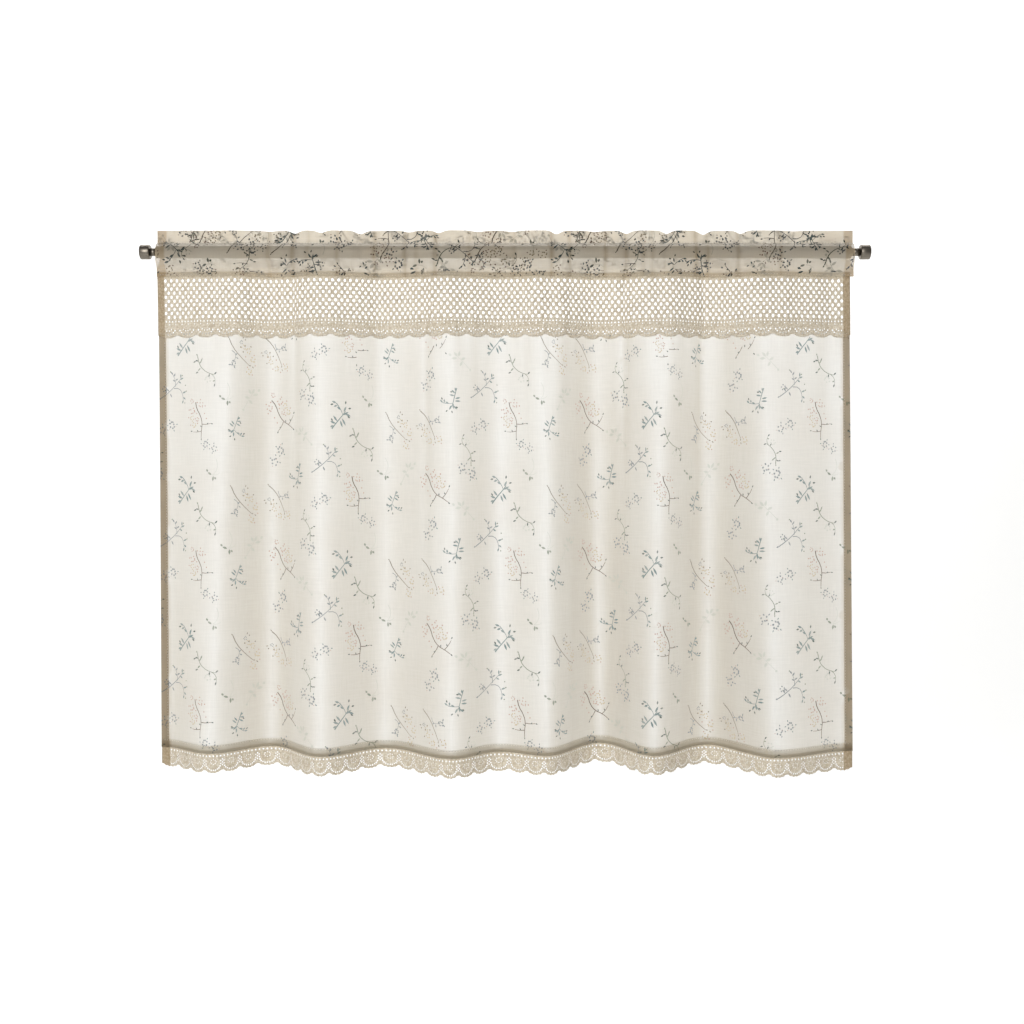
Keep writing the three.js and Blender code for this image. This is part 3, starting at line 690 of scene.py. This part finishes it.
def heading_section(x):
    """The strip's middle line at X, from the front seam up over the rod, over the ruffle and down the back:
    depth and height of each of its knots."""
    dip = sum(deep * np.exp(-(((x - at) / wide) ** 2)) for at, deep, wide in GATHERS)
    drawn = np.clip(dip / 3.5, 0, 1)
    flatter = np.clip(1.6 - np.abs(x) / 260.0, 0.25, 1)
    billow = 3.2 * flatter * (1 - drawn)
    seam = cloth_depth(x, HEADING_SEAM) + HEADING_DEPTH
    pinch = pocket_crease(x)
    billow = np.clip(billow - pinch, -0.6, None)
    sway = 2.4 * flatter * (0.5 - drawn) + 0.25 * cloth_depth(x, HEADING_SEAM) - 0.7 * pinch
    flat = np.zeros_like(x)
    front = [
        (seam + 0.5, flat - 28.0),
        (seam + 0.5, flat - 19.0),
        (8.3 + billow, flat - 10.0),
        (8.6 + billow, flat),
        (5.6 + 0.4 * billow, flat + 7.4),
        (flat + 0.5, flat + 10.0),
        (sway + 0.5, 17.0 - 0.5 * dip),
        (sway + 0.4, RUFFLE_TOP - 0.4 - dip),
        (sway, RUFFLE_TOP - dip),
        (sway - 0.4, RUFFLE_TOP - 0.4 - dip),
        (sway - 0.5, 17.0 - 0.5 * dip),
        (flat - 0.5, flat + 10.0),
        (-5.6 + 0 * flat, flat + 7.4),
        (-8.5 - 0.4 * billow, flat),
        (-8.0 + 0 * flat + 0.9, flat - 10.0),
        (seam - 0.5, flat - 19.0),
        (seam - 0.5, flat - 28.0),
    ]
    return np.array([d for d, _ in front]), np.array([h for _, h in front])


# how far along the strip each knot of its section lies
HEADING_KNOTS = np.array(
    [0, 9, 18.6, 28.7, 37.2, 42.9, 50, 56.8, 57.6, 58.4, 65.2, 72.3, 77.9, 86.4, 96.5, 106, 115.0]
)


def heading_points(x, t):
    """Points of the heading's strip in metres: x along the rod, t in millimetres along the folded strip."""
    depth, height = heading_section(x)
    segment = np.clip(np.searchsorted(HEADING_KNOTS, t, side="right") - 1, 0, len(HEADING_KNOTS) - 2)
    long = HEADING_KNOTS[segment + 1] - HEADING_KNOTS[segment]
    u = np.clip((t - HEADING_KNOTS[segment]) / long, 0, 1)
    column = np.arange(len(x))

    def curve(values):
        def slope(k):
            low, high = np.clip(k - 1, 0, None), np.clip(k + 1, None, len(HEADING_KNOTS) - 1)
            return (values[high, column] - values[low, column]) / (HEADING_KNOTS[high] - HEADING_KNOTS[low])

        a, b = values[segment, column], values[segment + 1, column]
        m, n = slope(segment) * long, slope(segment + 1) * long
        near = (2 * u**3 - 3 * u**2 + 1) * a + (u**3 - 2 * u**2 + u) * m
        return near + (3 * u**2 - 2 * u**3) * b + (u**3 - u**2) * n

    return np.stack([x, -curve(depth), curve(height)], axis=-1) * MM


heading_high = float(HEADING_KNOTS[-1])
heading_wide = HEADING_RIGHT - HEADING_LEFT
shapes, inks = print_cloth(heading_wide, heading_high, 310.0, 415.0)
for left, top in [(402.0, 470.0), (250.0, 366.0)]:
    more_shapes, more_inks = print_cloth(heading_wide, heading_high, left, top)
    shapes, inks = shapes + more_shapes, inks + more_inks
# the print on the doubled strip is drawn stronger, and darker as painted shade of its two layers
inks = [(r * 0.35, g * 0.35, b * 0.35, min(1.0, cover * 1.2)) for r, g, b, cover in inks]
heading_flat, heading_faces, heading_cover = cut_flat(
    heading_wide,
    heading_high,
    2.3,
    4.0,
    shapes,
    folds_across=[SIDE_HEM_WIDE, heading_wide - SIDE_HEM_WIDE],
    folds_down=list(HEADING_KNOTS[1:-1]),
)
heading_x = HEADING_LEFT + heading_flat[:, 0]
from_side = np.minimum(heading_flat[:, 0], heading_wide - heading_flat[:, 0])
in_hem = (from_side < SIDE_HEM_WIDE + 0.2).astype(float)
# a darker, warmer copy of the panel's voile: painted shade of the doubled strip
heading_voile_shaded = voile("Cotton voile, printed, heading", "#e1d9c9", "#dcd0bb", "#cfc3ae", 0.32, 0.54)
heading_piece, heading_used = make_piece(
    "pocket_heading", heading_points(heading_x, heading_flat[:, 1]), heading_faces, heading_voile_shaded
)
# painted shade along the pocket's fine creases
heading_painted_shade = np.clip(0.4 * pocket_crease(heading_x + 2.0), 0, 0.6)
ink_piece(heading_piece, heading_used, heading_flat, heading_cover, inks, in_hem, heading_painted_shade)
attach(heading_piece, "root")
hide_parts("heading")


# The lace band
# Cotton net lace, machine made: an open net of oval holes over a denser strip with a scalloped edge. Its top
# is caught in the heading's seam, and its dense strip is sewn over the top of the printed panel.
LACE_TOP = -22.5
NET_TOP = -30.0
NET_BOTTOM = -75.0
LACE_EDGE = -96.5
LACE_DEPTH = 2.05
LACE_THICK = 0.5
SCALLOP_DEEP = 3.6
BAND_SCALLOPS = 36


def oval(x, y, wide, high, sides=8, turn=0.0):
    """The outline of a hole in the lace."""
    return [
        (
            x + wide / 2 * math.cos(turn + i * 2 * math.pi / sides),
            y + high / 2 * math.sin(turn + i * 2 * math.pi / sides),
        )
        for i in range(sides)
    ]


def scallop_drop(across, count):
    """How much shorter the lace is than at a scallop's tip: round tongues with sharp notches between."""
    within = np.mod(across * count, 1.0)
    picots = 1.0 * np.abs(np.sin(5 * np.pi * within))
    return SCALLOP_DEEP * (1 - np.sin(np.pi * within)) ** 1.3 + picots


def cotton_lace(name, colour, shade):
    """Unbleached cotton lace: twisted yarn with a matt, slightly hairy surface. Its own holes are real, so
    only a little light passes through the yarn itself."""
    material = new_material(name)
    add = partial(add_node, material)
    flat = add("Attribute", {"attribute_name": "flat_cut"})
    # twisted yarn about 0.5 mm thick, drawn at 1 mm so that it shows
    yarn = add(
        "TexWave",
        {"bands_direction": "DIAGONAL", "Scale": 160.0, "Distortion": 3.0,
         "Detail": 2.0, "Detail Scale": 2.0},
        {"Vector": flat.outputs["Vector"]},
    )
    fleck = add(
        "TexNoise", {"Scale": 320.0, "Detail": 3.0, "Roughness": 0.65}, {"Vector": flat.outputs["Vector"]}
    )
    tone = add(
        "MapRange",
        {"From Min": 0.3, "From Max": 0.7, "To Min": 0.0, "To Max": 1.0},
        {"Value": fleck.outputs["Fac"]},
    )
    cotton = add(
        "Mix", {"data_type": "RGBA", 6: linear(shade), 7: linear(colour)}, {0: tone.outputs["Result"]}
    )
    # knots of yarn 2.4 mm apart, with painted shade in the gaps between them
    knots = add("TexVoronoi", {"Scale": 420.0, "Randomness": 0.7}, {"Vector": flat.outputs["Vector"]})
    gaps = add(
        "MapRange",
        {"From Min": 0.3, "From Max": 0.75, "To Min": 0.0, "To Max": 0.5},
        {"Value": knots.outputs["Distance"]},
    )
    cotton = add(
        "Mix",
        {"data_type": "RGBA", "blend_type": "MULTIPLY", 7: linear("#c9bca4")},
        {0: gaps.outputs["Result"], 6: cotton.outputs[2]},
    )
    # the lace's side hems are drawn darker: partly the denser lace, partly painted shade between its layers
    hem = add("Attribute", {"attribute_name": "hem_layers"})
    cotton = add(
        "Mix",
        {"data_type": "RGBA", "blend_type": "MULTIPLY", 7: linear("#d9cebd")},
        {0: hem.outputs["Fac"], 6: cotton.outputs[2]},
    )
    height = add("Math", {"operation": "SUBTRACT"}, {0: yarn.outputs["Fac"], 1: knots.outputs["Distance"]})
    relief = add("Bump", {"Strength": 0.6, "Distance": 0.0005}, {"Height": height.outputs["Value"]})
    front = add(
        "BsdfPrincipled",
        {"Roughness": 0.9, "Specular IOR Level": 0.2, "Sheen Weight": 0.2, "Sheen Roughness": 0.6},
        {"Base Color": cotton.outputs[2], "Normal": relief.outputs["Normal"]},
    )
    through = add("BsdfTranslucent", links={"Color": cotton.outputs[2], "Normal": relief.outputs["Normal"]})
    body = add("MixShader", {0: 0.3}, {1: front.outputs["BSDF"], 2: through.outputs["BSDF"]})
    add("OutputMaterial", {}, {"Surface": body.outputs["Shader"]})
    return material


def make_lace(name, flat, faces, points, material, thick):
    """A lace piece from its cut flat: its mesh hung in place, given the yarn's thickness."""
    piece, used = make_piece(name, points, faces, material)
    mark_flat(piece, used, flat)
    edge = SIDE_HEM_WIDE + 0.1
    mark_points(piece, "hem_layers", [not edge < flat[i][0] < flat_width - edge for i in used])
    body = piece.modifiers.new("yarn thickness", "SOLIDIFY")
    body.thickness = thick * MM
    body.offset = 0.0
    body.use_even_offset = False
    return piece


band_wide = flat_width
band_high = LACE_TOP - LACE_EDGE
open_wide = band_wide - 2 * SIDE_HEM_WIDE
holes = []
NET_COLUMNS = 118
NET_ROWS = 10
net_pitch = open_wide / NET_COLUMNS
row_pitch = (NET_TOP - NET_BOTTOM) / NET_ROWS
for row in range(NET_ROWS):
    for column in range(NET_COLUMNS):
        x = SIDE_HEM_WIDE + (column + (0.75 if row % 2 else 0.25)) * net_pitch
        y = LACE_TOP - NET_TOP + (row + 0.5) * row_pitch
        slant = 0.35 if (row + column) % 2 else -0.35
        pull = 0.05 * math.sin(column * 0.61 + row) * math.sin(column * 0.17)
        holes.append(oval(x, y, net_pitch * (0.47 + pull), row_pitch * 0.9, 8, slant * 0.5))
scallop_wide = band_wide / BAND_SCALLOPS
for i in range(BAND_SCALLOPS):
    middle = (i + 0.5) * scallop_wide
    # an arc of open eyes follows each scallop, with a smaller arc and a middle eye inside it
    for k in range(7):
        turn = math.radians(200 + k * 140 / 6)
        x, y = middle + 0.39 * scallop_wide * math.cos(turn), 62.5 - 7.2 * math.sin(turn)
        holes.append(oval(x, y, 2.3, 2.5, 6))
    for k in range(4):
        turn = math.radians(215 + k * 110 / 3)
        x, y = middle + 0.22 * scallop_wide * math.cos(turn), 61.6 - 4.0 * math.sin(turn)
        holes.append(oval(x, y, 1.7, 2.0, 6))
    for k in range(6):
        x = middle + (k - 2.5) * scallop_wide / 6
        holes.append(oval(x, 55.0, 2.0, 2.2, 6))
        if k % 2:
            holes.append(oval(x, 58.2, 1.6, 1.8, 6))
holes = [h for h in holes if all(SIDE_HEM_WIDE < p[0] < band_wide - SIDE_HEM_WIDE for p in h)]
band_flat, band_faces, band_cover = cut_flat(
    band_wide,
    band_high,
    1.55,
    3.0,
    holes,
    folds_across=[SIDE_HEM_WIDE, band_wide - SIDE_HEM_WIDE],
)
band_faces = band_faces[band_cover < 0]
band_across = band_flat[:, 0] / band_wide
down = band_flat[:, 1] / band_high
# the lower edge is drawn up into the notches, and the rows above it follow less and less
rise = scallop_drop(band_across, BAND_SCALLOPS) * np.clip((down - 0.9) / 0.1, 0, 1)
band_z = LACE_TOP - band_flat[:, 1] + rise
band_row = LACE_TOP - band_flat[:, 1]
ecru_lace = cotton_lace("Cotton lace, unbleached", "#f5efe2", "#e9e0cf")
band_piece = make_lace(
    "net_band", band_flat, band_faces, hang(band_across, band_row, LACE_DEPTH, band_z), ecru_lace, LACE_THICK
)
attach(band_piece, "root")
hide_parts("lace_band")


# The lace edging
# A scalloped cotton lace trimming, sewn behind the bottom hem. Each scallop has a rosette in a dense ground,
# a crescent of open eyes along its edge and small picots.
EDGING_TOP = -556.0
EDGING_EDGE = -581.5
EDGING_DEPTH = -2.05
EDGING_SCALLOPS = 45
edging_wide = flat_width
edging_high = EDGING_TOP - EDGING_EDGE
repeat = edging_wide / EDGING_SCALLOPS
holes = []
for i in range(EDGING_SCALLOPS):
    middle = (i + 0.5) * repeat
    # a row of square eyes below the hem
    for k in range(5):
        holes.append(oval(middle + (k - 2) * repeat / 5, 6.2, 2.4, 2.6, 4, math.pi / 4))
    # the rosette: petals round an eye
    for k in range(8):
        turn = k * math.pi / 4
        holes.append(oval(middle + 3.3 * math.cos(turn), 12.6 - 2.7 * math.sin(turn), 1.4, 1.4, 5))
    # lozenges between two rosettes
    lozenges = [(0.0, 10.0), (0.0, 13.2), (0.0, 16.4), (-1.9, 11.6), (1.9, 11.6), (-1.9, 14.8), (1.9, 14.8)]
    for x, y in lozenges:
        holes.append(oval(i * repeat + x, y, 2.0, 2.4, 4))
    # the crescent along the scallop
    for k in range(9):
        turn = math.radians(202 + k * 136 / 8)
        x, y = middle + 0.4 * repeat * math.cos(turn), 14.6 - 7.6 * math.sin(turn)
        holes.append(oval(x, y, 1.8, 2.3, 6, -turn))
side_clear = [h for h in holes if all(SIDE_HEM_WIDE < p[0] < edging_wide - SIDE_HEM_WIDE for p in h)]
holes = [h for h in side_clear if all(p[1] < edging_high - 0.5 for p in h)]
edging_flat, edging_faces, edging_cover = cut_flat(
    edging_wide,
    edging_high,
    1.2,
    2.4,
    holes,
    folds_across=[SIDE_HEM_WIDE, edging_wide - SIDE_HEM_WIDE],
)
edging_faces = edging_faces[edging_cover < 0]
edging_across = edging_flat[:, 0] / edging_wide
down = edging_flat[:, 1] / edging_high
rise = scallop_drop(edging_across, EDGING_SCALLOPS) * np.clip((down - 0.8) / 0.2, 0, 1)
edging_z = EDGING_TOP - edging_flat[:, 1] + rise
edging_row = np.full(len(edging_flat), HEM_BOTTOM)
edging_piece = make_lace(
    "scalloped_edging",
    edging_flat,
    edging_faces,
    hang(edging_across, edging_row, EDGING_DEPTH, edging_z),
    ecru_lace,
    LACE_THICK,
)
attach(edging_piece, "root")
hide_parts("lace_edging")


# The stitching
# Cotton thread in lockstitches about 2.3 mm long: along the pocket, the seam, the lace band and the hems.
STITCH_LONG = 2.3
STITCH_PITCH = 3.2
THREAD_HALF = 0.22


def stitch_row(starts, ends):
    """Stitches as slim grains of thread, from where each comes up through the cloth to where it dips."""
    points, faces = [], []
    for a, b in zip(starts, ends):
        along = (b - a) / (np.linalg.norm(b - a) or 1.0)
        side = np.cross(along, (0.0, 1.0, 0.0))
        middle, half = (a + b) / 2, THREAD_HALF * MM
        raised = np.array((0.0, -half, 0.0))
        first = len(points)
        points += [a, middle + side * half, middle + raised, middle - side * half, middle - raised, b]
        for i in range(4):
            j = (i + 1) % 4
            faces += [(first, first + 1 + i, first + 1 + j), (first + 5, first + 1 + j, first + 1 + i)]
    return points, faces


def thread_finish(name, colour):
    """Spun cotton sewing thread: matt, a little paler than the cloth, with a twist too fine to show."""
    material = new_material(name)
    add = partial(add_node, material)
    place = add("TexCoord")
    twist = add("TexNoise", {"Scale": 900.0, "Detail": 2.0}, {"Vector": place.outputs["Object"]})
    tone = add(
        "Mix",
        {"data_type": "RGBA", 6: linear(colour), 7: linear("#f4efe4")},
        {0: twist.outputs["Fac"]},
    )
    front = add(
        "BsdfPrincipled", {"Roughness": 0.8, "Specular IOR Level": 0.3}, {"Base Color": tone.outputs[2]}
    )
    add("OutputMaterial", {}, {"Surface": front.outputs["BSDF"]})
    return material


def cloth_row(z, out):
    """A level row of stitches through the hanging cloth at height z."""
    at = np.arange(3.0, flat_width - 4.0, STITCH_PITCH)
    rows = [hang((at + step) / flat_width, np.full(len(at), float(z)), out) for step in (0.0, STITCH_LONG)]
    return stitch_row(*rows)


def hem_row(across_mm, top, bottom, out):
    """A row of stitches down a side hem."""
    at = np.arange(top - 2.0, bottom, -STITCH_PITCH)
    share = np.full(len(at), across_mm / flat_width)
    return stitch_row(*[hang(share, at - step, out) for step in (0.0, STITCH_LONG)])


def heading_row(t):
    """A row of stitches through the heading, t millimetres along its folded strip."""
    at = np.arange(HEADING_LEFT + 3.0, HEADING_RIGHT - 4.0, STITCH_PITCH)
    rows = [heading_points(at + step, np.full(len(at), t)) for step in (0.0, STITCH_LONG)]
    return stitch_row(*[row - np.array((0.0, 0.25 * MM, 0.0)) for row in rows])


ecru_thread = thread_finish("Cotton thread, ecru", "#ddd5c6")
seams = {
    "heading_stitches": [heading_row(42.9), heading_row(2.0)],
    "band_stitches": [cloth_row(PANEL_TOP - 1.0, LACE_DEPTH + 0.5)],
    "panel_stitches": [
        cloth_row(HEM_TOP - 0.9, 0.25),
        hem_row(8.0, -98.0, HEM_TOP, 0.25),
        hem_row(flat_width - 8.0, -98.0, HEM_TOP, 0.25),
    ],
}
for name, rows in seams.items():
    points, faces = [], []
    for row_points, row_faces in rows:
        faces += [tuple(i + len(points) for i in face) for face in row_faces]
        points += row_points
    stitches, _ = make_piece(name, points, faces, ecru_thread)
    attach(stitches, "root")


# The tension rod
# A slim sprung steel rod, nickel plated dark and brushed along its length: the tube, a thinner neck at each
# end and a screwed-on cap with rounded edges that presses on the window's reveal.
TUBE_RADIUS = 6.7
NECK_RADIUS = 4.35
CAP_RADIUS = 8.05


def turned(name, profile, material, sides=64):
    """A piece turned on a lathe round the rod's axis, from X and radius pairs."""
    points, faces = [], []
    for x, radius in profile:
        for i in range(sides):
            turn = i * 2 * math.pi / sides
            points.append((x * MM, radius * math.cos(turn) * MM, radius * math.sin(turn) * MM))
    for r in range(len(profile) - 1):
        for i in range(sides):
            j = (i + 1) % sides
            faces.append((r * sides + i, r * sides + j, (r + 1) * sides + j, (r + 1) * sides + i))
    faces.append(tuple(range(sides))[::-1])
    faces.append(tuple((len(profile) - 1) * sides + i for i in range(sides)))
    piece, _ = make_piece(name, points, faces, material, smooth=False)
    edges = [p for p in piece.data.polygons if len(p.vertices) == 4]
    for p in edges:
        p.use_smooth = True
    return piece


def brushed_nickel(name, light, dark):
    """Dark nickel plating, brushed along the rod: fine lines along X stretch its highlights."""
    material = new_material(name)
    add = partial(add_node, material)
    place = add("TexCoord")
    # brush lines 0.3 mm apart and 30 mm long
    lines = add("Mapping", {"Scale": (35.0, 1200.0, 1200.0)}, {"Vector": place.outputs["Object"]})
    grain = add(
        "TexNoise", {"Scale": 1.0, "Detail": 3.0, "Roughness": 0.6}, {"Vector": lines.outputs["Vector"]}
    )
    metal = add("Mix", {"data_type": "RGBA", 6: linear(dark), 7: linear(light)}, {0: grain.outputs["Fac"]})
    gloss = add(
        "MapRange",
        {"From Min": 0.3, "From Max": 0.7, "To Min": 0.3, "To Max": 0.46},
        {"Value": grain.outputs["Fac"]},
    )
    relief = add("Bump", {"Strength": 0.2, "Distance": 0.0001}, {"Height": grain.outputs["Fac"]})
    front = add(
        "BsdfPrincipled",
        {"Metallic": 1.0},
        {
            "Base Color": metal.outputs[2],
            "Roughness": gloss.outputs["Result"],
            "Normal": relief.outputs["Normal"],
        },
    )
    add("OutputMaterial", {}, {"Surface": front.outputs["BSDF"]})
    return material


def cap_profile(inner, outer):
    """A cap's outline from its inner face to its outer one, with a small round at both edges."""
    way = 1 if outer > inner else -1
    steps = [(0.0, 7.1), (0.25, 7.7), (0.9, CAP_RADIUS)]
    rim = [(inner + way * x, radius) for x, radius in steps]
    rim += [(outer - way * x, radius) for x, radius in reversed(steps)]
    return rim if way > 0 else rim[::-1]


nickel = brushed_nickel("Steel, dark nickel plated, brushed", "#9a9286", "#565049")
rod_left, rod_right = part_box("rod_tube")[0].x / MM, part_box("rod_tube")[1].x / MM
tube_profile = [(rod_left, 6.2), (rod_left + 0.5, TUBE_RADIUS)]
tube_profile += [(rod_right - 0.5, TUBE_RADIUS), (rod_right, 6.2)]
rod_pieces = [(turned("tension_tube", tube_profile, nickel), "rod_tube")]
for side in ("left", "right"):
    low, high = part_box("rod_neck_" + side)
    neck = turned("neck_" + side, [(low.x / MM, NECK_RADIUS), (high.x / MM, NECK_RADIUS)], nickel)
    low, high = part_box("rod_cap_" + side)
    ends = (low.x / MM, high.x / MM)
    inner, outer = ends[::-1] if side == "left" else ends
    cap = turned("cap_" + side, cap_profile(inner, outer), nickel)
    rod_pieces += [(neck, "rod_neck_" + side), (cap, "rod_cap_" + side)]
for piece, node in rod_pieces:
    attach(piece, "root")
    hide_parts(node)


# The studio
# A pale sweep of paper, floor and backdrop in one, lit by a broad soft light in front and a white surround.
paper = new_material("Studio paper, white")
sheet = add_node(
    paper,
    "BsdfPrincipled",
    {
        "Base Color": linear("#fbfbfa"),
        "Roughness": 0.95,
        "Specular IOR Level": 0.1,
        "Emission Color": linear("#ffffff"),
        "Emission Strength": 0.16,
    },
)
add_node(paper, "OutputMaterial", {}, {"Surface": sheet.outputs["BSDF"]})
sweep = [(-3.0, -1.05), (1.4, -1.05)]
bends = [t * math.pi / 24 for t in range(1, 13)]
sweep += [(1.4 + 0.9 * math.sin(bend), -0.15 - 0.9 * math.cos(bend)) for bend in bends]
sweep += [(2.3, 2.6)]
sweep_points = [(x, y, z) for y, z in sweep for x in (-4.0, 4.0)]
sweep_faces = [(2 * i, 2 * i + 1, 2 * i + 3, 2 * i + 2) for i in range(len(sweep) - 1)]
backdrop, _ = make_piece("studio_sweep", sweep_points, sweep_faces, paper)
backdrop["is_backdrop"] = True

world = bpy.data.worlds.new("Studio surround")
world.use_nodes = True
world.node_tree.nodes["Background"].inputs["Color"].default_value = (1.0, 0.995, 0.985, 1.0)
world.node_tree.nodes["Background"].inputs["Strength"].default_value = 0.23
bpy.context.scene.world = world


def soft_light(name, place, target, wide, high, watts):
    lamp = bpy.data.lights.new(name, "AREA")
    lamp.shape = "RECTANGLE"
    lamp.size, lamp.size_y, lamp.energy = wide, high, watts
    light = bpy.data.objects.new(name, lamp)
    light.location = place
    light.rotation_mode = "QUATERNION"
    light.rotation_quaternion = (Vector(target) - Vector(place)).to_track_quat("-Z", "Y")
    bpy.context.scene.collection.objects.link(light)


soft_light("Front light", (-0.7, -2.5, 0.4), (0.05, 0.0, -0.3), 1.3, 1.3, 42.0)
soft_light("Backdrop light", (0.0, 0.9, 1.9), (0.0, 2.3, -0.3), 3.2, 0.6, 50.0)

# The camera stands level with the middle of the cloth.
CAMERA_AWAY = 1350.0
PICTURE_WIDE = 1146.9  # what the picture spans at the rod
camera_data = bpy.data.cameras.new("Camera")
camera_data.sensor_width = 36.0
camera_data.lens = camera_data.sensor_width * CAMERA_AWAY / PICTURE_WIDE
camera = bpy.data.objects.new("Camera", camera_data)
camera.location = (7.8 * MM, -CAMERA_AWAY * MM, -291.0 * MM)
camera.rotation_euler = (math.pi / 2, 0.0, 0.0)
bpy.context.scene.collection.objects.link(camera)
bpy.context.scene.camera = camera
bpy.context.scene.view_settings.view_transform = "Standard"

low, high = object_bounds()
